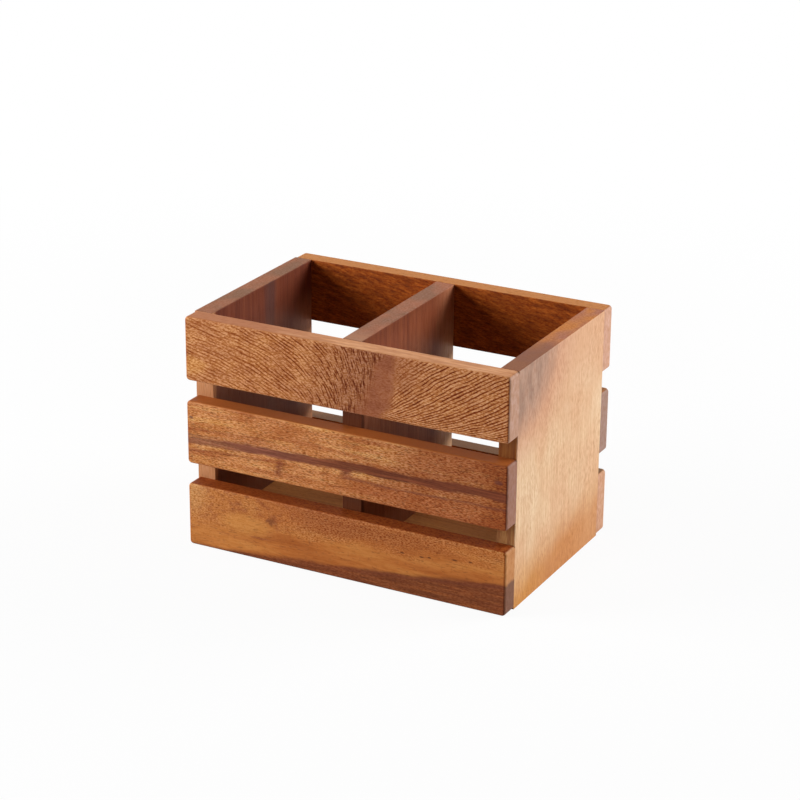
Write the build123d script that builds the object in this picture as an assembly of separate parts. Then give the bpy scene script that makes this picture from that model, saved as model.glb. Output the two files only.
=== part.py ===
from build123d import *
import os

# Slatted wooden cutlery holder with two compartments: two end panels and a divider, joined by three
# slats in front and three behind, with a floor board housed in the end panels.
# X runs along the slats, Y from front to back, Z up. The origin is under the middle, on the table.

# Driving dimensions, in millimetres
WIDTH = 180.0                 # outer face of one end panel to the outer face of the other
DEPTH = 120.0                 # outer face of the front slats to the outer face of the back slats

SLAT_HEIGHT = 34.0
SLAT_GAP = 11.0               # open space between one slat and the next
SLAT_THICKNESS = 10.0
SLAT_CORNER = 2.0             # radius of a slat's corners, seen from the front
SLAT_ARRIS = 1.2              # roundover all round the outer face of a slat
SLAT_INNER_ARRIS = 0.5        # roundover along the long edges of the inner face

PANEL_THICKNESS = 10.0
DIVIDER_THICKNESS = 10.5
PANEL_ARRIS = 0.5             # roundover along the top of the end panels and the divider

FLOOR_THICKNESS = 8.0
FLOOR_LIFT = 3.0              # underside of the floor board above the table
FLOOR_HOUSING_DEPTH = 4.0     # how far each end of the floor board goes into its end panel
DIVIDER_HOUSING_DEPTH = 2.5   # how far the foot of the divider goes into the floor board

DOWEL_DIAMETER = 5.0
DOWEL_IN_PANEL = 10.0         # length of a dowel in the edge of a panel or the divider
DOWEL_COVER = 3.5             # wood left between a dowel hole and the outer face of its slat
DOWEL_CHAMFER = 0.5           # lead-in at the end that goes into a panel or the divider

# Clearances
GLUE_LINE = 0.05              # between a dowel and the wall of its hole
DOWEL_END_RELIEF = 0.5        # glue room past each end of a dowel
HOUSING_CLEARANCE = 0.1       # between a housed board and a wall of its housing

# Sizes that follow from the driving dimensions
SLAT_LEVELS = ("bottom", "middle", "top")
SLAT_PITCH = SLAT_HEIGHT + SLAT_GAP
HEIGHT = len(SLAT_LEVELS) * SLAT_PITCH - SLAT_GAP
PANEL_DEPTH = DEPTH - 2 * SLAT_THICKNESS
PANEL_X = (WIDTH - PANEL_THICKNESS) / 2
INNER_WIDTH = WIDTH - 2 * PANEL_THICKNESS
FLOOR_TOP = FLOOR_LIFT + FLOOR_THICKNESS
DOWEL_IN_SLAT = SLAT_THICKNESS - DOWEL_COVER - DOWEL_END_RELIEF

# The front and the back are alike: what is behind is what is in front, turned half a turn about Z.
AS_DRAWN = Location()
HALF_TURN = Rot(0, 0, 180)
SIDES = {"front": AS_DRAWN, "back": HALF_TURN}


def slat_foot(level):
    """Height of the underside of a slat."""
    return SLAT_LEVELS.index(level) * SLAT_PITCH


def dowel_height(level):
    """Dowels lie midway up the part of their slat that is above the floor board."""
    lowest = max(slat_foot(level), FLOOR_TOP)
    return (lowest + slat_foot(level) + SLAT_HEIGHT) / 2


def joint(x, level):
    """Where a front slat's inner face meets the edge of the upright at x. Negative y is in the slat."""
    return Pos(x, -PANEL_DEPTH / 2, dowel_height(level))


def bar_along_y(diameter, y_from, y_to):
    bar = Cylinder(diameter / 2, y_to - y_from, rotation=(90, 0, 0))
    return Pos(0, (y_from + y_to) / 2, 0) * bar


def dowel():
    bar = bar_along_y(DOWEL_DIAMETER, -DOWEL_IN_SLAT, DOWEL_IN_PANEL)
    lead_end = bar.edges().filter_by(GeomType.CIRCLE).sort_by(Axis.Y)[-1]
    return chamfer(lead_end, DOWEL_CHAMFER)


def dowel_hole():
    """The blind holes on both sides of a joint, with glue room round the dowel and past its ends."""
    return bar_along_y(
        DOWEL_DIAMETER + 2 * GLUE_LINE,
        -DOWEL_IN_SLAT - DOWEL_END_RELIEF,
        DOWEL_IN_PANEL + DOWEL_END_RELIEF,
    )


def slat(level):
    """A front slat with rounded corners, rounded all round its outer face and drilled in its inner face."""
    board = Box(WIDTH, SLAT_THICKNESS, SLAT_HEIGHT)
    inner_face = board.faces().sort_by(Axis.Y)[-1]
    board = fillet(inner_face.edges().filter_by(Axis.X), SLAT_INNER_ARRIS)
    outline = Plane.XZ * RectangleRounded(WIDTH, SLAT_HEIGHT, SLAT_CORNER)
    board &= extrude(outline, SLAT_THICKNESS, both=True)
    board = fillet(board.faces().sort_by(Axis.Y)[0].edges(), SLAT_ARRIS)
    board = Pos(0, (SLAT_THICKNESS - DEPTH) / 2, slat_foot(level) + SLAT_HEIGHT / 2) * board
    return board - [joint(x, level) * dowel_hole() for x in (-PANEL_X, 0, PANEL_X)]


def slat_dowels(level):
    """The dowels of a front slat, one for each upright."""
    return [joint(x, level) * dowel() for x in (-PANEL_X, 0, PANEL_X)]


def upright(x, thickness, foot):
    """A board that stands from z = foot to the rim, eased along its top and drilled in both edges."""
    height = HEIGHT - foot
    board = Box(thickness, PANEL_DEPTH, height)
    top_face = board.faces().sort_by(Axis.Z)[-1]
    board = fillet(top_face.edges().filter_by(Axis.Y), PANEL_ARRIS)
    board = Pos(x, 0, foot + height / 2) * board
    front_holes = [joint(x, level) * dowel_hole() for level in SLAT_LEVELS]
    back_holes = [HALF_TURN * joint(-x, level) * dowel_hole() for level in SLAT_LEVELS]
    return board - front_holes - back_holes


def end_panel(x):
    """An upright with a housing across its inner face, on whose lower wall the floor board sits."""
    length = INNER_WIDTH + 2 * (FLOOR_HOUSING_DEPTH + HOUSING_CLEARANCE)
    thickness = FLOOR_THICKNESS + HOUSING_CLEARANCE
    housing = Pos(0, 0, FLOOR_LIFT + thickness / 2) * Box(length, PANEL_DEPTH, thickness)
    return upright(x, PANEL_THICKNESS, 0) - housing


def divider():
    """The middle upright, whose foot stands in the floor board's housing."""
    return upright(0, DIVIDER_THICKNESS, FLOOR_TOP - DIVIDER_HOUSING_DEPTH)


def floor_board():
    """One board under both compartments, with a housing across its top for the divider."""
    length = INNER_WIDTH + 2 * FLOOR_HOUSING_DEPTH
    board = Pos(0, 0, FLOOR_TOP - FLOOR_THICKNESS / 2) * Box(length, PANEL_DEPTH, FLOOR_THICKNESS)
    width = DIVIDER_THICKNESS + 2 * HOUSING_CLEARANCE
    housing = Box(width, PANEL_DEPTH, DIVIDER_HOUSING_DEPTH)
    return board - Pos(0, 0, FLOOR_TOP - DIVIDER_HOUSING_DEPTH / 2) * housing


nodes = {
    "left_end_panel": end_panel(-PANEL_X),
    "right_end_panel": end_panel(PANEL_X),
    "divider_panel": divider(),
    "floor_board": floor_board(),
}
for side, turn in SIDES.items():
    for level in SLAT_LEVELS:
        name = f"{side}_{level}_slat"
        nodes[name] = turn * slat(level)
        nodes[name + "_dowels"] = Compound([turn * pin for pin in slat_dowels(level)])

os.makedirs("parts", exist_ok=True)
for name, shape in nodes.items():
    export_step(shape, os.path.join("parts", name + ".step"))
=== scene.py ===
import math

import bpy
from mathutils import Matrix, Vector


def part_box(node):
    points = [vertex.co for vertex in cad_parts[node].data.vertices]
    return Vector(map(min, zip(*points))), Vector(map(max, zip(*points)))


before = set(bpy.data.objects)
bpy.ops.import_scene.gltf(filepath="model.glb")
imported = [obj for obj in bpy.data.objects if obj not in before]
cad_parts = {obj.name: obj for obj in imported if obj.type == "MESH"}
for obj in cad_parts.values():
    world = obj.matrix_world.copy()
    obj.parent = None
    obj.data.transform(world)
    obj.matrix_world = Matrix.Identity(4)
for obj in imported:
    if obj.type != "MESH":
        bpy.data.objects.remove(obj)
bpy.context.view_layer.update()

MM = 1000.0                   # millimetres in a metre: lights and camera are set in metres, wood in mm

# Camera, at the photograph's viewing angle. Azimuth 0 is straight in front of the holder, and grows to
# the right. Angles are in degrees.
CAMERA_PLACE = Vector((0.5447, -1.0369, 0.5284))
CAMERA_AZIMUTH = 27.70
CAMERA_ELEVATION = 21.13
CAMERA_ROLL = 0.46
CAMERA_LENS = 110.97          # mm, on a sensor SENSOR_WIDTH wide
SENSOR_WIDTH = 36.0           # mm

# Studio. A level of 1 shows a colour as it is written, on a face that looks at the light.
LIT_POINT = Vector((0, 0, 0.06))
SOFTBOXES = {
    # name: azimuth, elevation, distance, width, height, level
    "left": (-60.0, 20.0, 1.3, 0.8, 0.6, 1.27),
    "right": (130.0, 22.0, 1.3, 0.8, 0.6, 1.00),
    "top": (0.0, 88.0, 1.3, 0.3, 0.3, 0.20),
}
SKY_LEVEL = 0.06
FLOOR_SIZE = 8.0
FLOOR_GREY = 0.8
FLOOR_GLOW = 0.93             # share of plain white in the floor that the camera sees, near the holder
FLOOR_SHADED = 0.25           # radius about the holder within which the floor shows shadows in full
FLOOR_WHITE = 0.70            # radius beyond which it is plain white


def direction(azimuth, elevation):
    """From the holder towards an azimuth and elevation in degrees."""
    turn = math.radians(azimuth)
    tilt = math.radians(elevation)
    return Vector((math.sin(turn) * math.cos(tilt), -math.cos(turn) * math.cos(tilt), math.sin(tilt)))


def srgb(code):
    """Linear colour of a hex code such as c98c50."""
    channels = [int(code[i:i + 2], 16) / 255 for i in (0, 2, 4)]
    return tuple(c / 12.92 if c <= 0.04045 else ((c + 0.055) / 1.055) ** 2.4 for c in channels) + (1.0,)


# Stains: what one coat lets through
STAIN = srgb("a4723d")
PALE_STAIN = srgb("a47159")
DASH_STAIN = srgb("a47245")

# Oiled finish
PORE = srgb("4a2410")
ROUGHNESS = 0.5
PORE_ROUGHNESS = 0.2          # added in a pore
SPECULAR = 0.12
PORE_DEPTH = 0.0002           # m
PORE_RELIEF = 0.3             # share of that depth that shows


class Field:
    """A number or colour that varies over a surface: a node's output, which takes part in sums."""

    def __init__(self, graph, socket):
        self.graph = graph
        self.socket = socket

    def __add__(self, other):
        return self.graph.math("ADD", self, other)

    def __sub__(self, other):
        return self.graph.math("SUBTRACT", self, other)

    def __rsub__(self, other):
        return self.graph.math("SUBTRACT", other, self)

    def __mul__(self, other):
        return self.graph.math("MULTIPLY", self, other)

    def __truediv__(self, other):
        return self.graph.math("DIVIDE", self, other)

    def __pow__(self, power):
        return self.graph.math("POWER", self, power)

    def __abs__(self):
        return self.graph.math("ABSOLUTE", self)

    __radd__ = __add__
    __rmul__ = __mul__


class Graph:
    """Nodes of one material or world. Numbers, colours and fields go in, and a field comes out."""

    def __init__(self, owner):
        owner.use_nodes = True
        self.nodes = owner.node_tree.nodes
        self.links = owner.node_tree.links

    def plug(self, socket, value):
        if isinstance(value, Field):
            self.links.new(value.socket, socket)
        else:
            socket.default_value = value

    def add(self, kind, output, inputs, **settings):
        """The named or numbered output of a new node."""
        node = self.nodes.new("ShaderNode" + kind)
        for key, value in settings.items():
            setattr(node, key, value)
        for key, value in inputs.items():
            self.plug(node.inputs[key], value)
        return Field(self, node.outputs[output])

    def math(self, operation, *values):
        return self.add("Math", 0, dict(enumerate(values)), operation=operation)

    def exp(self, value):
        return self.math("EXPONENT", value)

    def vector(self, operation, *values):
        return self.add("VectorMath", 0, dict(enumerate(values)), operation=operation)

    def ease(self, value, low, high, bottom=0.0, top=1.0):
        """Goes smoothly from bottom, where value is low or less, to top, where it is high or more."""
        inputs = {"Value": value, "From Min": low, "From Max": high, "To Min": bottom, "To Max": top}
        return self.add("MapRange", "Result", inputs, interpolation_type="SMOOTHSTEP")

    def fade(self, value, low, high):
        """Goes smoothly from 1, where value is low or less, to 0, where it is high or more."""
        return self.ease(value, low, high, 1.0, 0.0)

    def mix(self, factor, first, second):
        return self.add("Mix", 2, {0: factor, 6: first, 7: second}, data_type="RGBA")

    def deepen(self, colour, depth, stain=STAIN):
        """Colour seen through depth coats of stain: darker and redder, or paler where depth is below 0."""
        return self.vector("MULTIPLY", colour, self.add("Gamma", 0, {"Color": stain, "Gamma": depth}))

    def ramp(self, value, *stops):
        """Colour that goes through stops, each a value and a colour."""
        node = self.nodes.new("ShaderNodeValToRGB")
        self.plug(node.inputs["Fac"], value)
        elements = node.color_ramp.elements
        while len(elements) < len(stops):
            elements.new(0.5)
        for element, (place, colour) in zip(elements, stops):
            element.position = place
            element.color = colour
        return Field(self, node.outputs["Color"])


class Wood(Graph):
    """The wood of one board. along, across and through are a point's place in millimetres: along the grain,
    across the board and through it, from its lowest corner. ends, edges and faces are 1 on the surfaces
    that look in those three directions."""

    AXES = {"X": (1, 0, 0), "Y": (0, 1, 0), "Z": (0, 0, 1)}
    FAR = 1e4                     # a noise this long is the same all along
    SEED_SHIFT = 13.7             # how far apart the noises of two boards lie
    DRAW_SHIFT = 5.3              # and those of one board
    END_COSINES = (0.4, 0.8)      # end grain runs on over the roundovers
    SIDE_COSINES = (0.7, 0.95)
    ARRIS = (1.4, 0.5)            # mm from an end, where the painted shade on its arris starts and where it is darkest
    ARRIS_SHADE_COATS = 0.45            # coats of stain that paint the shade on the arris
    END_SHARE = 0.9               # how much of an end's own colour shows
    FLECK_GAP = 0.12              # how much paler the wood between flecks is, as a share of their reach
    SPECK_GAP = -0.2              # coats of stain between specks

    def __init__(self, node, axes, seed):
        material = bpy.data.materials.new(node)
        super().__init__(material)
        self.shader = self.nodes["Principled BSDF"]
        self.seed = seed
        self.draws = 0
        low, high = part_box(node)
        sizes = {axis: MM * (high[i] - low[i]) for i, axis in enumerate("XYZ")}
        self.length, self.width, self.thickness = (sizes[axis] for axis in axes)
        place = self.add("TexCoord", "Object", {})
        local = self.vector("MULTIPLY_ADD", place, (MM, MM, MM), tuple(-MM * c for c in low))
        self.along, self.across, self.through = (self.add("SeparateXYZ", axis, {0: local}) for axis in axes)
        self.point = self.join(self.along, self.across, self.through)
        normal = self.add("NewGeometry", "Normal", {})
        self.ends = self.looks_along(normal, axes[0], *self.END_COSINES)
        self.edges = self.looks_along(normal, axes[1], *self.SIDE_COSINES)
        self.faces = self.looks_along(normal, axes[2], *self.SIDE_COSINES)
        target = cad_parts[node]
        target.data.materials.clear()
        target.data.materials.append(material)

    def looks_along(self, normal, axis, low, high):
        """1 where the normal lies along an axis: the cosine between them is high or more."""
        cosine = self.add("VectorMath", "Value", {0: normal, 1: self.AXES[axis]}, operation="DOT_PRODUCT")
        return self.ease(abs(cosine), low, high)

    def join(self, x, y, z):
        return self.add("CombineXYZ", 0, {"X": x, "Y": y, "Z": z})

    def noise(self, size, detail=2.0, roughness=0.5, point=None):
        """Noise about 0.5 whose lumps measure size: millimetres along the grain, across it and through."""
        self.draws += 1
        shift = self.SEED_SHIFT * self.seed + self.DRAW_SHIFT * self.draws
        shrunk = self.vector("MULTIPLY_ADD", point or self.point, tuple(1 / s for s in size),
                             (shift, -shift, 2 * shift))
        inputs = {"Vector": shrunk, "Scale": 1.0, "Detail": detail, "Roughness": roughness}
        return self.add("TexNoise", "Fac", inputs)

    def sway(self, reach, size, detail=2.0, point=None):
        """Noise about 0, of up to reach either way."""
        return self.noise(size, detail, point=point) * (2 * reach) - reach

    def stripe(self, off, half, soft):
        """1 where off, the distance from a line, is within half, falling to 0 over soft millimetres."""
        return self.fade(abs(off) - half, -soft / 2, soft / 2)

    def spot(self, along, across, length, width):
        """A soft round spot about the point (along, across)."""
        lengthways = (self.along - along) * (2 / length)
        sideways = (self.across - across) * (2 / width)
        return self.fade(lengthways * lengthways + sideways * sideways, 0.1, 1.0)

    def rings(self, band, wander, pith):
        """Tone about 0.5 of growth bands round a pith, at (across, through), well outside the board."""
        across = self.across + self.sway(wander, (80, 25, 25)) - pith[0]
        through = self.through - pith[1]
        radius = self.math("SQRT", across * across + through * through)
        point = self.join(self.along, radius, 0.0)
        broad = self.noise((260, band, 1), 3, 0.6, point)
        narrow = self.noise((110, band / 6, 1), 3, 0.6, point)
        return 0.6 * broad + 0.4 * narrow

    def flecked(self, colour, reach, length=2.6, breadth=0.55, stain=STAIN):
        """Short dark flecks along the grain, on wood that is a little lighter between them."""
        depth = self.sway(reach, (length, breadth, breadth), 3)
        return self.deepen(colour, self.math("MAXIMUM", depth, -self.FLECK_GAP * reach), stain)

    def specks(self, reach, size):
        """Coats of stain in small dark specks, and a little less than none between them."""
        return self.math("MAXIMUM", self.sway(reach, size, 3), self.SPECK_GAP)

    def capped(self, colour, end):
        """Colour with painted shade on the arrises at the ends, and end grain of another colour."""
        half = self.length / 2
        # Painted shade: the faces darken along the arrises at both ends
        arris_shade = self.ease(abs(self.along - half), *(half - inset for inset in self.ARRIS))
        colour = self.deepen(colour, self.ARRIS_SHADE_COATS * arris_shade * (1.0 - self.ends))
        colour = self.mix(self.ends * self.END_SHARE, colour, end)
        return self.deepen(colour, self.ends * self.sway(0.25, (40, 3, 1.5)))

    def pores(self, length=5.0, breadth=0.5, share=0.60):
        """1 in the fine open pores."""
        return self.ease(self.noise((length, breadth, breadth), 2, 0.6), share, share + 0.1)

    def finish(self, colour, pore):
        """Oiled, with a satin sheen. Pores are duller and lie lower."""
        self.plug(self.shader.inputs["Base Color"], colour)
        self.plug(self.shader.inputs["Roughness"], ROUGHNESS + PORE_ROUGHNESS * pore)
        self.shader.inputs["Specular IOR Level"].default_value = SPECULAR
        relief = {"Strength": PORE_RELIEF, "Distance": PORE_DEPTH, "Height": 1.0 - pore}
        self.plug(self.shader.inputs["Normal"], self.add("Bump", "Normal", relief))


# Axes along the grain, across the board and through it
SLAT = ("X", "Z", "Y")
UPRIGHT = ("Z", "Y", "X")
FLAT = ("X", "Y", "Z")
PIN = ("Y", "Z", "X")

# Front top slat, in mm
BAND_LEFT = 99.0              # where the smooth band starts, at the slat's lower edge
BAND_LEAN = 0.42              # how far its left side leans to the right for each mm up
BAND_RIGHT = 118.0            # where it ends, high up
BAND_TOE = 10.0               # how much further left it ends at the lower edge
TOE_HEIGHT = 6.0
DASH_PITCH = 1.6              # from one line of dashes to the next


def feathered(node, seed):
    """Crotch figure: dashes fan out on both sides of a smooth, reddish, leaning band."""
    wood = Wood(node, SLAT, seed)
    # How far a point lies to the left of the band, and to the right of it
    before = BAND_LEFT + BAND_LEAN * wood.across - wood.along
    after = wood.along - BAND_RIGHT + BAND_TOE * wood.exp(wood.across / -TOE_HEIGHT)
    on_right = wood.math("GREATER_THAN", after, -1.0)
    near = wood.fade(before, 5.0, 55.0) * (1.0 - on_right)

    # Along and across the dashes, which bend away from the band
    left_along = 0.7 * (wood.along - wood.across)
    left_across = wood.across - 0.18 * before + 48.75 * wood.exp(before / -25.0)
    right_along = 0.7 * wood.along + 0.45 * wood.across
    right_across = 0.80 * (wood.across - 0.65 * after + 4.8 * wood.exp(after / -8.0))
    dash_along = left_along + on_right * (right_along - left_along)
    dash_across = left_across + on_right * (right_across - left_across) + wood.sway(1.6, (18, 18, 18), 1)
    flow = wood.join(dash_along, dash_across, wood.through)

    # Long lines, and short, dense dashes near the band on its left
    wave = wood.math("COSINE", dash_across * (2 * math.pi / DASH_PITCH)) * (1.0 - near)
    fine = wood.sway(3.2, (7.5, 0.5, 5), 2, flow)
    coarse = wood.sway(4.4, (4.0, 0.85, 5), 2, flow) + 0.3
    share = 0.9 * near + 0.25 * on_right
    calm = wood.ease(wood.along, 40.0, 90.0, 0.16, 0.0) + 0.15 * on_right
    lines = (0.75 + calm) * wave + (1.0 - calm) * fine
    dashes = wood.ease(lines + share * (coarse - fine), 0.1, 1.2)

    gold = wood.spot(3.0, 9.0, 24.0, 12.0)
    wander = wood.sway(6.0, (5, 6, 6), 3)
    smooth = wood.fade(before + wander, -2.0, 5.0)
    smooth = smooth * wood.fade(after + 0.4 * wander, -0.5, 4.0)
    veil = wood.fade(after + wander, 2.0, 22.0) * wood.ease(wood.across, 10.0, 26.0) * on_right
    dashes = dashes * (1.0 - smooth) * (1.0 - 0.7 * veil) * (1.0 - 0.6 * gold) * wood.faces
    strength = wood.ease(wood.along + wood.sway(20.0, (20, 12, 12)), 15.0, 110.0, 0.6, 1.18)

    tone = wood.noise((14, 6, 6), 3)
    colour = wood.ramp(tone, (0.35, srgb("b27244")), (0.5, srgb("bb7b4a")), (0.65, srgb("c38450")))
    colour = wood.mix(gold * 0.6, colour, srgb("d09250"))
    colour = wood.mix(on_right * 0.4, colour, srgb("c38656"))
    colour = wood.mix(wood.ease(before, 0.0, 50.0, 0.6, 0.0) * (1.0 - on_right), colour, srgb("8e5840"))
    band = wood.ramp(tone, (0.4, srgb("8a4c30")), (0.6, srgb("9a5a3a")))
    colour = wood.mix(wood.math("MAXIMUM", smooth * 0.85, veil * 0.6), colour, band)
    speckle = wood.specks(1.1, (1.3, 0.6, 0.9))
    colour = wood.deepen(colour, speckle * (1.0 - 0.5 * smooth))
    colour = wood.deepen(colour, dashes * strength, DASH_STAIN)
    grain = wood.noise((22, 2.0, 2.0), 3)
    top = wood.ramp(grain, (0.38, srgb("bc8056")), (0.5, srgb("c98c60")), (0.62, srgb("d69c70")))
    redder = wood.ease(wood.along + wood.sway(20.0, (12, 3, 3)), 40.0, 90.0, 0.9, 0.0)
    top = wood.mix(redder, top, srgb("aa6a44"))
    colour = wood.mix(wood.edges, colour, wood.flecked(top, 0.3, 4.0, 0.8))
    colour = wood.capped(colour, srgb("b88f79"))
    wood.finish(colour, dashes)


# Front middle slat, in mm
STREAK_HEIGHT = 17.8          # of the dark streak, where it runs level
STREAK_DROP = 5.3             # how much lower it starts at the left end
STREAK_CLIMB = 65.0           # how far along it makes up most of that
STREAK_BULGE = 92.0           # where along it the streak is thickest
SMALL_MARKS = (
    # along, across, length, width, share of their dark colour
    (2.7, 25.5, 3.5, 1.6, 0.8),
    (175.0, 24.6, 6.0, 3.0, 0.5),
)


def streaked(node, seed):
    """A dark streak runs the whole length and climbs from the left end. Finer lines follow it."""
    wood = Wood(node, SLAT, seed)
    # The streak, and the thinner marks above and below it
    path = STREAK_HEIGHT - STREAK_DROP * wood.exp(wood.along / -STREAK_CLIMB)
    path = path + wood.sway(1.0, (30, wood.FAR, wood.FAR))
    above = wood.across - path
    bulge = wood.stripe(wood.along - STREAK_BULGE, 1.0, 9.0) * 1.5
    half = wood.ease(wood.along, 0.0, 80.0, 2.0, 2.3) + wood.sway(0.8, (20, wood.FAR, wood.FAR)) + bulge
    ragged = wood.sway(1.5, (9, 1.0, 1.0), 3)
    streak = wood.stripe(above + bulge + ragged, half, 1.6) * wood.ease(wood.along, 0.0, 45.0, 0.7, 0.92)
    twin = wood.stripe(above + ragged - 3.0, 0.5, 0.8) * wood.fade(wood.along, 8.0, 30.0)
    low_left = wood.stripe(above + 5.0 + ragged, 0.7, 1.6) * wood.fade(wood.along, 45.0, 62.0)
    low_right = wood.stripe(above + 6.6 + ragged, 0.5, 1.2) * wood.ease(wood.along, 85.0, 95.0)
    high_left = wood.stripe(above - 6.0 + ragged, 0.5, 1.6) * wood.stripe(wood.along - 30.0, 24.0, 20.0)
    high_right = wood.stripe(above - 5.0 + ragged, 0.3, 0.9) * wood.ease(wood.along, 115.0, 135.0)
    branch = wood.stripe(wood.along - 51.5 - 0.3 * wood.across + 2.0 * ragged, 1.7, 3.0)
    branch = branch * wood.stripe(above + 7.0, 4.0, 4.0)
    red = wood.ease(wood.along + wood.sway(20.0, (30, 8, 8)), 80.0, 140.0)
    red_foot = wood.fade(above, -8.5, -6.0) * wood.ease(wood.along, 70.0, 105.0)
    right_end = wood.fade(wood.length - wood.along, 1.0, 20.0)

    tone = wood.noise((45, 3.0, 3.0), 4, 0.6)
    colour = wood.ramp(tone, (0.32, srgb("ac6436")), (0.5, srgb("c27d48")), (0.68, srgb("d49858")))
    colour = wood.mix(red * wood.ease(above, -4.0, 4.0, 0.65, 0.78), colour, srgb("9a552c"))
    colour = wood.mix(red_foot * 0.5, colour, srgb("a3562a"))
    colour = wood.mix((low_left + high_left + high_right) * 0.75, colour, srgb("904826"))
    colour = wood.mix(branch * 0.75, colour, srgb("7c3e28"))
    colour = wood.mix(wood.spot(STREAK_BULGE, 13.0, 9.0, 7.0) * 0.6, colour, srgb("843f2a"))
    clouds = wood.ease(wood.noise((12, 6, 6), 3), 0.45, 0.65, -0.03, 0.12)
    colour = wood.deepen(colour, clouds + 0.3 * right_end)
    # Painted shade: the top and bottom faces are darker and more saturated, as in the shadow of the slat
    # above
    colour = wood.mix(wood.edges, colour, srgb("a25927"))
    reach = 0.2 + wood.ease(wood.along, 80.0, 140.0, 1.15, 1.6) * wood.faces
    colour = wood.flecked(colour, reach, 1.9, 0.45)
    pore = wood.pores(2.2, 0.45, 0.55) * wood.faces
    colour = wood.mix(pore * 0.55, colour, PORE)
    grain = wood.noise((24, 0.9, 0.9), 4, 0.6)
    dark = wood.ramp(grain, (0.36, srgb("5e2e22")), (0.5, srgb("784232")), (0.66, srgb("925440")))
    colour = wood.mix(streak, colour, wood.deepen(dark, wood.ease(wood.along, 50.0, 95.0, -0.04, 0.3)))
    colour = wood.mix((twin + low_right) * 0.7, colour, srgb("743e2c"))
    for *mark, share in SMALL_MARKS:
        colour = wood.mix(wood.spot(*mark) * share, colour, srgb("5a3030"))
    colour = wood.capped(colour, srgb("996e5c"))
    wood.finish(colour, pore)


# Front bottom slat, in mm
FOOT_LEFT = 0.8               # height of the dark foot at the left end
FOOT_RISE = 16.2              # how much higher it is at the right end
FOOT_BEND = 1.3               # 1 for a straight rise, more for one that steepens
KNOT = (48.8, 22.75, 9.0, 9.0)  # along, across, length, width
BOLD_PORES = (
    # along, across, length
    (152.5, 24.2, 4.6),
    (123.7, 21.9, 3.2),
    (134.4, 21.9, 3.2),
    (138.7, 22.5, 2.6),
    (161.0, 25.0, 2.8),
)
BOLD_PORE_WIDTH = 1.1


def dark_footed(node, seed):
    """Amber, with a dark foot that rises to the right, a small knot and a few bold pores."""
    wood = Wood(node, SLAT, seed)
    climb = (wood.math("MAXIMUM", wood.along, 0.0) / wood.length) ** FOOT_BEND
    above = wood.across - FOOT_LEFT - FOOT_RISE * climb + wood.sway(1.6, (14, 3, 3), 3)
    foot = wood.fade(above, -1.6, 1.2)
    lip = wood.stripe(above + 1.6, 1.2, 1.6)
    left = wood.fade(wood.along, 50.0, 80.0)
    clear = wood.spot(34.0, 18.0, 40.0, 15.0)
    rough = wood.ease(wood.across + wood.sway(8.0, (20, 6, 6), 3) - 0.10 * wood.along, 6.0, 16.0)
    rough = rough * (1.0 - 0.8 * clear)
    off_arc = wood.across - 26.0 - 0.16 * (wood.along - 91.0) + wood.sway(2.0, (20, 5, 5))
    arc = wood.stripe(off_arc, 2.4, 4.0) * wood.ease(wood.along, 55.0, 95.0)
    blots = wood.ease(wood.noise((3, 2.2, 2.2), 3), 0.48, 0.66)
    blots = blots * left * wood.ease(wood.across, 11.0, 20.0) * (1.0 - clear)
    lines = wood.ease(wood.noise((14, 1.1, 1.1), 2), 0.55, 0.66)
    lines = lines * wood.stripe(wood.across - 11.5, 2.0, 4.0) * left
    knot = wood.ease(wood.spot(*KNOT) + wood.sway(1.6, (2.0, 2.6, 2.0), 3), 0.2, 1.4)

    tone = wood.noise((60, 8, 8), 4)
    colour = wood.ramp(tone, (0.34, srgb("a05824")), (0.5, srgb("b46a30")), (0.66, srgb("c27e3e")))
    gold = wood.ease(wood.along, 10.0, 60.0, 0.8, 0.0) * wood.ease(wood.across, 4.0, 18.0, 0.5, 1.0)
    colour = wood.mix(gold, colour, srgb("ca8644"))
    patches = wood.math("MAXIMUM", clear, wood.spot(37.0, 28.5, 18.0, 11.0))
    colour = wood.mix(patches * 0.6, colour, srgb("cc8c48"))
    colour = wood.mix(rough * 0.45, colour, srgb("ac6636"))
    colour = wood.mix(wood.spot(84.0, 31.0, 60.0, 22.0) * 0.5, colour, srgb("96522a"))
    colour = wood.mix(arc * 0.5, colour, srgb("9c582a"))
    colour = wood.mix(wood.math("MAXIMUM", blots * 0.5, lines * 0.7), colour, srgb("94502e"))
    pale = wood.ease(wood.along, 2.0, 16.0, 0.5, 0.0) * wood.ease(wood.across, 12.0, 28.0)
    colour = wood.mix(pale, colour, srgb("d09c62"))
    # Painted shade: the top and bottom faces are darker and redder, as in the shadow of the slat above
    colour = wood.mix(wood.edges, colour, srgb("924619"))
    speckle = wood.specks(1.9, (1.2, 0.5, 0.5))
    colour = wood.deepen(colour, speckle * rough * (1.0 - 0.4 * left))
    colour = wood.flecked(colour, 0.3, 5.0, 0.7)
    grain = wood.noise((26, 1.6, 1.6), 4)
    dark = wood.ramp(grain, (0.36, srgb("642d15")), (0.55, srgb("7a3e20")), (0.7, srgb("8c4a24")))
    colour = wood.mix(foot * 0.92, colour, wood.flecked(dark, 1.2, 1.6, 0.55))
    colour = wood.mix(lip * wood.ease(wood.along, 60.0, 110.0) * 0.35, colour, srgb("6a3424"))
    colour = wood.mix(knot * 0.7, colour, srgb("6e3c22"))
    pore = wood.pores(4.0, 0.55, 0.60) * 0.6
    for along, across, length in BOLD_PORES:
        pore = wood.math("MAXIMUM", pore, wood.spot(along, across, length, BOLD_PORE_WIDTH))
    colour = wood.mix(pore * 0.8, colour, PORE)
    colour = wood.capped(colour, wood.mix(foot, srgb("c08450"), srgb("784f3a")))
    wood.finish(colour, pore)


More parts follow.
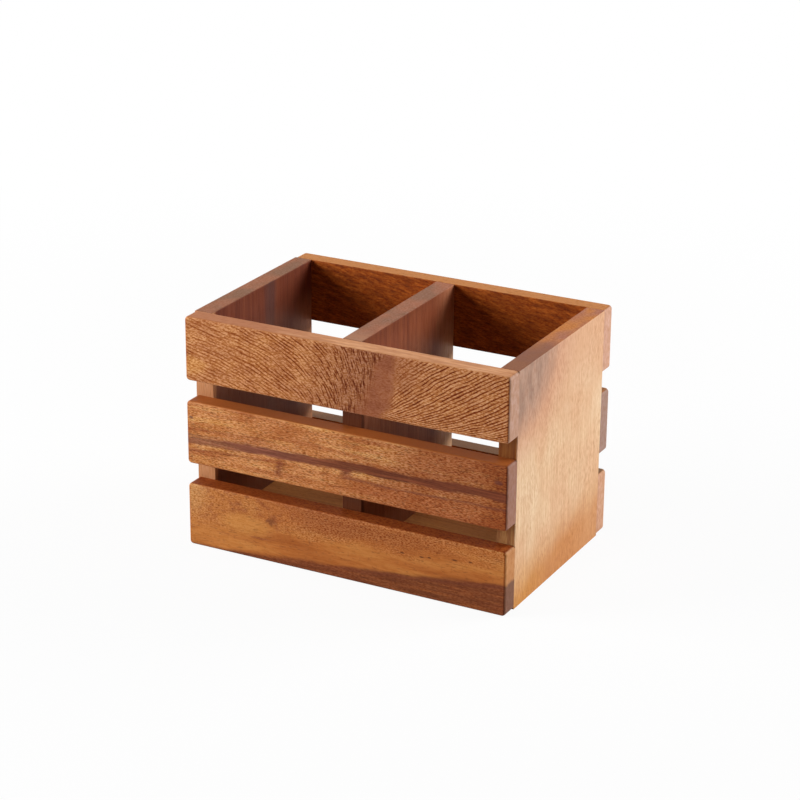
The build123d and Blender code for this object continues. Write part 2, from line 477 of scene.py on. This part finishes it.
def back_slat(node, seed, rich_and_shaded, gold, edge, end):
    """Golden outside, and rich inside, where the heart of the tree was; the inner face also carries painted
    shade, darker and more saturated.
    """
    wood = Wood(node, SLAT, seed)
    tone = wood.rings(8.0, 7.0, (-50, -40))
    outer = wood.ramp(tone, (0.40, gold[0]), (0.5, gold[1]), (0.60, gold[2]))
    sloping = wood.join(wood.along, wood.across + 0.2 * wood.along, wood.through)
    grain = wood.noise((9, 2.0, 2.0), 4, 0.6, sloping)
    inner = wood.ramp(grain, (0.28, rich_and_shaded[0]), (0.5, rich_and_shaded[1]), (0.72, rich_and_shaded[2]))
    # The inner face, towards the compartments: partly its own richer colour, partly painted shade that
    # makes it darker and more saturated
    rich_and_shaded_inside = wood.fade(wood.through, 0.8, 2.5)
    colour = wood.mix(rich_and_shaded_inside, outer, inner)
    colour = wood.mix(wood.edges, colour, edge)
    colour = wood.flecked(colour, (0.5 + 0.4 * rich_and_shaded_inside) * (1.0 - 0.5 * wood.edges), 1.5, 0.55)
    pore = wood.pores(4.0)
    colour = wood.mix(pore * 0.4, colour, PORE)
    colour = wood.capped(colour, end)
    wood.finish(colour, pore)


def rim(wood, grey, orange):
    """End grain along the top of an upright, in soft patches."""
    colour = wood.ramp(wood.noise((wood.FAR, 20, 14), 2), (0.4, grey), (0.6, orange))
    return wood.deepen(colour, wood.sway(0.45, (3, 1.0, 1.0), 3))


# Heart corner of the right panel, in mm
HEART_BACK = 46.0             # how far it reaches back along the top
HEART_DOWN = 35.0             # and down along the front
HEART_ROUND = 1.8             # 2 for the outline of an ellipse, 1 for a straight one


def right_panel(node, seed):
    """Pale sapwood outside, turning amber towards the foot as painted shade, and a brown heart that shows
    in the edges and at the top front corner.
    """
    wood = Wood(node, UPRIGHT, seed)
    down = wood.math("MAXIMUM", wood.length - wood.along, 0.0)
    back = wood.math("MAXIMUM", wood.across, 0.0)
    corner = (back / HEART_BACK) ** HEART_ROUND + (down / HEART_DOWN) ** HEART_ROUND
    corner = corner + wood.sway(0.3, (26, 16, 16), 2)
    heart = wood.fade(corner, 0.35, 1.2)
    # Painted shade: the face turns darker and more amber towards the foot, where the light falls off
    glow = wood.fade(wood.along - 0.15 * wood.across + wood.sway(8.0, (20, 20, 20)), 0.0, 30.0)
    glow = glow * wood.ease(wood.across, 60.0, 95.0, 0.95, 0.8)

    tone = wood.noise((30, 22, 22), 3)
    colour = wood.ramp(tone, (0.35, srgb("ddb088")), (0.5, srgb("e1ba92")), (0.65, srgb("e6c49e")))
    shaded_amber = wood.mix(wood.ease(wood.across, 10.0, 45.0), srgb("cc893c"), srgb("c78347"))
    colour = wood.mix(glow, colour, shaded_amber)
    colour = wood.deepen(colour, wood.sway(0.15, (60, 1.6, 1.6)), PALE_STAIN)
    colour = wood.mix(wood.ease(wood.along, 60.0, 120.0, 0.0, 0.7), colour, srgb("d49e78"))
    halo = wood.fade(corner, 0.7, 2.4)
    colour = wood.mix(halo * 0.75, colour, srgb("cf9878"))
    grey = wood.ramp(wood.noise((14, 5, 5), 3), (0.38, srgb("a07c68")), (0.62, srgb("b48e78")))
    colour = wood.mix(heart, colour, grey)
    core = wood.ease(wood.thickness - wood.through, 0.2, 0.8)
    brown = wood.ramp(wood.noise((40, 4, 2), 3), (0.38, srgb("8a5230")), (0.62, srgb("b07a46")))
    brown = wood.deepen(brown, wood.ease(wood.along, 30.0, 65.0, -0.12, 0.2))
    colour = wood.mix(core, colour, brown)
    dashed = wood.noise((30, 20, 20))
    reach = wood.ease(dashed, 0.4, 0.6, 0.24, 0.44) + 0.1 * halo
    colour = wood.flecked(colour, reach, 3.0, 0.7, PALE_STAIN)
    pore = wood.pores(3.0, 0.6, 0.60)
    colour = wood.mix(pore * wood.ease(dashed, 0.4, 0.6, 0.1, 0.35), colour, srgb("b07848"))
    top = wood.mix(heart * 0.8, rim(wood, srgb("a5664a"), srgb("bd7434")), srgb("744836"))
    colour = wood.mix(wood.ends, colour, top)
    wood.finish(colour, pore)


def left_panel(node, seed):
    """Red heartwood, with a strip of sapwood along the front edge, a golden outer face, and painted light
    that makes the inner face paler low down and towards the back.
    """
    wood = Wood(node, UPRIGHT, seed)
    tone = wood.rings(11.0, 4.0, (-30, 60))
    colour = wood.ramp(tone, (0.36, srgb("613022")), (0.5, srgb("763b27")), (0.64, srgb("874a30")))
    grey = wood.stripe(wood.across - 57.0 + wood.sway(4.0, (60, 10, 10)), 5.0, 6.0)
    colour = wood.mix(grey * 0.5, colour, srgb("5c4440"))
    # Painted light: the wood is paler low down, and palest low down towards the back
    foot = wood.fade(wood.along, 86.0, 112.0)
    colour = wood.mix(foot * 0.6, colour, srgb("9c6a50"))
    painted_light_behind = wood.ease(wood.across + wood.sway(6.0, (40, 12, 12)), wood.width - 22.0, wood.width - 4.0)
    colour = wood.mix(painted_light_behind * foot, colour, srgb("bc8460"))
    outer = wood.ramp(tone, (0.36, srgb("a5683a")), (0.5, srgb("bc824c")), (0.64, srgb("ce9a60")))
    colour = wood.mix(wood.fade(wood.through, 1.0, 5.0), colour, outer)
    colour = wood.mix(wood.fade(wood.across + wood.sway(1.5, (30, 6, 6)), 1.5, 4.0), colour, srgb("c1875c"))
    colour = wood.flecked(colour, 0.3, 9.0, 0.5)
    pore = wood.pores(6.0, 0.5)
    colour = wood.mix(pore * 0.3, colour, PORE)
    colour = wood.mix(wood.ends, colour, rim(wood, srgb("7f563c"), srgb("955d3f")))
    wood.finish(colour, pore)


def divider(node, seed):
    """Red heartwood all through, with painted light low down and towards the back, and painted shade near
    the top and on the front edge.
    """
    wood = Wood(node, UPRIGHT, seed)
    tone = wood.rings(12.0, 3.0, (-60, 90))
    colour = wood.ramp(tone, (0.36, srgb("7a3e28")), (0.5, srgb("904d31")), (0.64, srgb("a45e3b")))
    # Masks for painted light low down and towards the back
    foot = wood.fade(wood.along, 78.0, 108.0)
    painted_light_behind = wood.ease(wood.across + wood.sway(6.0, (40, 12, 12)), wood.width - 24.0, wood.width - 4.0)
    # Painted shade near the top of the faces
    colour = wood.mix(wood.ease(wood.along, 100.0, 120.0, 0.0, 0.3), colour, srgb("4c2418"))
    # Painted light: paler low down and towards the back, palest where both meet
    colour = wood.mix(foot * 0.3, colour, srgb("b4805c"))
    colour = wood.mix(painted_light_behind * 0.7, colour, srgb("c07e5a"))
    colour = wood.mix(painted_light_behind * foot, colour, srgb("dcb088"))
    # Painted shade on the front edge, which lies between the slats
    colour = wood.mix(wood.fade(wood.across, 2.0, 4.0), colour, srgb("66361e"))
    colour = wood.flecked(colour, 0.4, 9.0, 0.5)
    pore = wood.pores(6.0, 0.5)
    colour = wood.mix(pore * 0.3, colour, PORE)
    top = rim(wood, srgb("855940"), srgb("9e6143"))
    top = wood.mix(wood.ease(wood.across, 2.0, 18.0, 0.6, 0.0), top, srgb("a87a5c"))
    colour = wood.mix(wood.ends, colour, top)
    wood.finish(colour, pore)


def floor_wood(node, seed):
    """Olive-brown, with growth bands along it."""
    wood = Wood(node, FLAT, seed)
    tone = wood.rings(10.0, 6.0, (-50, -60))
    colour = wood.ramp(tone, (0.36, srgb("9a6036")), (0.5, srgb("b87844")), (0.64, srgb("ca8c50")))
    colour = wood.flecked(colour, 0.35)
    pore = wood.pores()
    colour = wood.mix(pore * 0.4, colour, PORE)
    wood.finish(colour, pore)


def dowel_wood(node, seed):
    """Pale and straight-grained."""
    wood = Wood(node, PIN, seed)
    tone = wood.noise((60, 1.2, 1.2), 3)
    colour = wood.ramp(tone, (0.35, srgb("c49a68")), (0.65, srgb("dcb888")))
    pore = wood.pores(4.0, 0.3)
    wood.finish(wood.mix(pore * 0.3, colour, PORE), pore)


# Inner faces of the back slats: their own rich colour, with painted shade that makes it darker and more
# saturated
RICH_AND_SHADED = (srgb("6d2d0e"), srgb("954714"), srgb("b86020"))
GOLD = (srgb("ac6a30"), srgb("c88a48"), srgb("d8a05e"))
AMBER = (srgb("a06030"), srgb("bc7e42"), srgb("cc9454"))
FIRST_DOWEL_SEED = 20

feathered("front_top_slat", 1)
streaked("front_middle_slat", 2)
dark_footed("front_bottom_slat", 3)
back_slat("back_top_slat", 4, RICH_AND_SHADED, GOLD, srgb("be7a3f"), srgb("cc9c84"))
back_slat("back_middle_slat", 5, RICH_AND_SHADED, AMBER, srgb("a87042"), srgb("9c7c70"))
back_slat("back_bottom_slat", 6, RICH_AND_SHADED, GOLD, srgb("8e6747"), srgb("cc9a7c"))
left_panel("left_end_panel", 7)
right_panel("right_end_panel", 8)
divider("divider_panel", 9)
floor_wood("floor_board", 10)
for number, node in enumerate(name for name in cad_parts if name.endswith("_dowels")):
    dowel_wood(node, FIRST_DOWEL_SEED + number)


def set_camera():
    ahead = -direction(CAMERA_AZIMUTH, CAMERA_ELEVATION)
    right = ahead.cross(Vector((0, 0, 1))).normalized()
    up = right.cross(ahead)
    aim = Matrix((right, up, -ahead)).transposed().to_4x4()
    roll = Matrix.Rotation(math.radians(CAMERA_ROLL), 4, "Z")
    data = bpy.data.cameras.new("camera")
    data.lens = CAMERA_LENS
    data.sensor_width = SENSOR_WIDTH
    camera = bpy.data.objects.new("camera", data)
    camera.matrix_world = Matrix.Translation(CAMERA_PLACE) @ aim @ roll
    bpy.context.scene.collection.objects.link(camera)
    bpy.context.scene.camera = camera


def seen(graph):
    """1 for rays that show the background: straight to the camera, in a reflection or through glass."""
    rays = [graph.add("LightPath", f"Is {kind} Ray", {}) for kind in ("Camera", "Glossy", "Transmission")]
    return graph.math("MAXIMUM", graph.math("MAXIMUM", rays[0], rays[1]), rays[2])


def set_sky():
    world = bpy.data.worlds.new("studio")
    bpy.context.scene.world = world
    graph = Graph(world)
    background = graph.nodes["Background"]
    background.inputs["Color"].default_value = (1, 1, 1, 1)
    graph.plug(background.inputs["Strength"], graph.ease(seen(graph), 0.0, 1.0, SKY_LEVEL, 1.0))


def set_floor():
    bpy.ops.mesh.primitive_plane_add(size=FLOOR_SIZE)
    floor = bpy.context.object
    floor.name = "floor"
    material = bpy.data.materials.new("floor")
    graph = Graph(material)
    place = graph.add("TexCoord", "Object", {})
    radius = graph.add("VectorMath", "Value", {0: place}, operation="LENGTH")
    paint = graph.add("BsdfDiffuse", 0, {"Color": (FLOOR_GREY, FLOOR_GREY, FLOOR_GREY, 1)})
    glow = graph.add("Emission", 0, {"Strength": 1.0})
    share = seen(graph) * graph.ease(radius, FLOOR_SHADED, FLOOR_WHITE, FLOOR_GLOW, 1.0)
    surface = graph.add("MixShader", 0, {0: share, 1: paint, 2: glow})
    graph.plug(graph.nodes["Material Output"].inputs["Surface"], surface)
    floor.data.materials.append(material)


def set_softbox(name, azimuth, elevation, distance, width, height, level):
    """A soft lamp whose power shows a colour, times level, on a face that looks at it."""
    data = bpy.data.lights.new(name, "AREA")
    data.shape = "RECTANGLE"
    data.size = width
    data.size_y = height
    data.energy = level * (math.pi * distance) ** 2
    lamp = bpy.data.objects.new(name, data)
    towards = direction(azimuth, elevation)
    lamp.location = LIT_POINT + distance * towards
    lamp.rotation_euler = (-towards).to_track_quat("-Z", "Y").to_euler()
    bpy.context.scene.collection.objects.link(lamp)


bpy.context.scene.view_settings.view_transform = "Standard"
set_camera()
set_sky()
set_floor()
for name, settings in SOFTBOXES.items():
    set_softbox(name, *settings)
